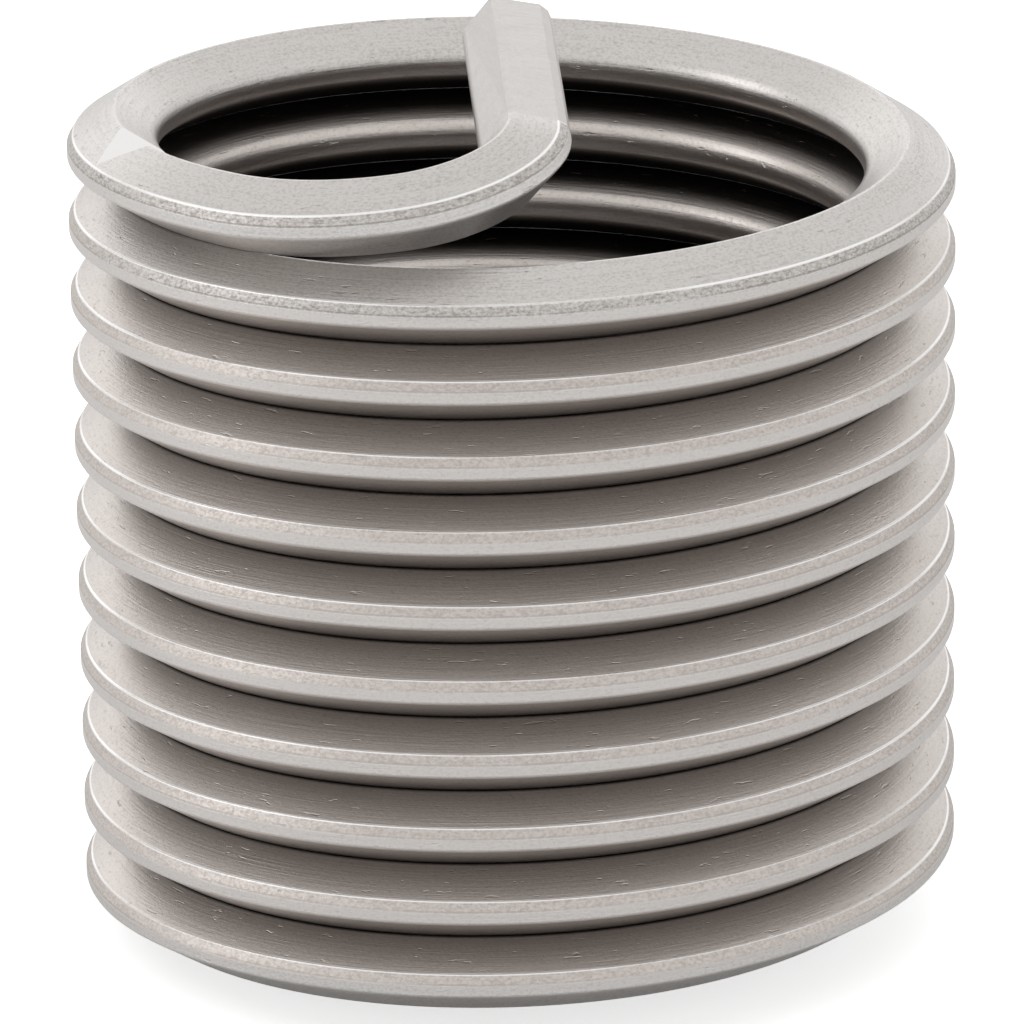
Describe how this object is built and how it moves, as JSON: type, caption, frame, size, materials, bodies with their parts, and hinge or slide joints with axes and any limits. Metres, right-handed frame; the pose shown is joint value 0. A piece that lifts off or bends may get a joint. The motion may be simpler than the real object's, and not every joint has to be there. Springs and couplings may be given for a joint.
{
  "type": "helical thread insert",
  "caption": "Wire thread insert: profiled stainless wire wound as a right-hand coil, with a notched driving tang bent across one end.",
  "frame": {"origin": "on the coil's axis, level with the lowest point of the first turn that the insert stands on", "axes": "+Z along the coil's axis towards the tang; the tang's straight run points roughly along +Y"},
  "size_m": [0.0116, 0.0116, 0.0124],
  "materials": {
    "stainless_wire": "satin drawn wire"
  },
  "bodies": {
    "root": {"wire_coil": "stainless_wire"}
  },
  "joints": []
}
